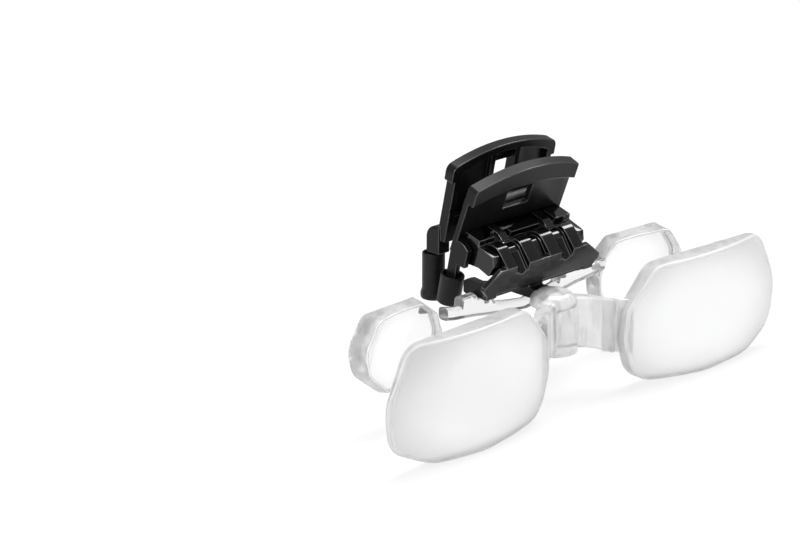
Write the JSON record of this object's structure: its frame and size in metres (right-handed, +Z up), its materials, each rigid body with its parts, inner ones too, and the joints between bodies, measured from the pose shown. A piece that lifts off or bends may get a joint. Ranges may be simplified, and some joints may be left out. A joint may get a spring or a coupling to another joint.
{
  "type": "clip on eyeglass loupe",
  "caption": "Flip-up magnifier that clips over the bridge of spectacles: a spring clip of two lever jaws, a hinged carrier, and clear front and rear lens pairs on clear bridges.",
  "frame": {"origin": "middle of the gap between the front and rear sleeves, on the middle plane, where the bridge of the spectacles is held", "axes": "+Z up as the optics hang down in use, -Y the way the wearer looks, +X the wearer's left; the object mirrors across the plane X = 0"},
  "size_m": [0.1054, 0.0361, 0.0473],
  "materials": {
    "black_plastic": "satin moulded black",
    "soft_sleeve": "smooth soft black",
    "steel": "plain",
    "clear_plastic": "clear polished"
  },
  "bodies": {
    "clip": {"front_jaw": "black_plastic", "hinge_housing": "black_plastic", "catch_tongue_left": "steel", "catch_tongue_right": "steel", "flip_pin": "steel", "jaw_pivot_pin": "steel", "jaw_spring": "steel", "front_sleeve_left": "soft_sleeve", "front_sleeve_right": "soft_sleeve"},
    "rear_lever": {"rear_jaw": "black_plastic", "cross_rod": "steel", "rear_sleeve_left": "soft_sleeve", "rear_sleeve_right": "soft_sleeve"},
    "optics": {"carrier": "black_plastic", "cradle": "black_plastic", "cradle_screws": "steel", "rear_bridge": "clear_plastic", "ocular_left": "clear_plastic", "ocular_right": "clear_plastic", "front_bridge": "clear_plastic", "objective_left": "clear_plastic", "objective_right": "clear_plastic"}
  },
  "joints": [
    {"name": "jaw_hinge", "type": "hinge", "parent": "clip", "child": "rear_lever", "pos_m": [0, -0.0029, 0.0046], "axis": [1, 0, 0], "range_deg": [-2.5, 16], "stiffness_Nm_per_rad": 0.12},
    {"name": "flip_hinge", "type": "hinge", "parent": "clip", "child": "optics", "pos_m": [0, -0.0107, 0.0002], "axis": [-1, 0, 0], "range_deg": [0, 75]}
  ]
}
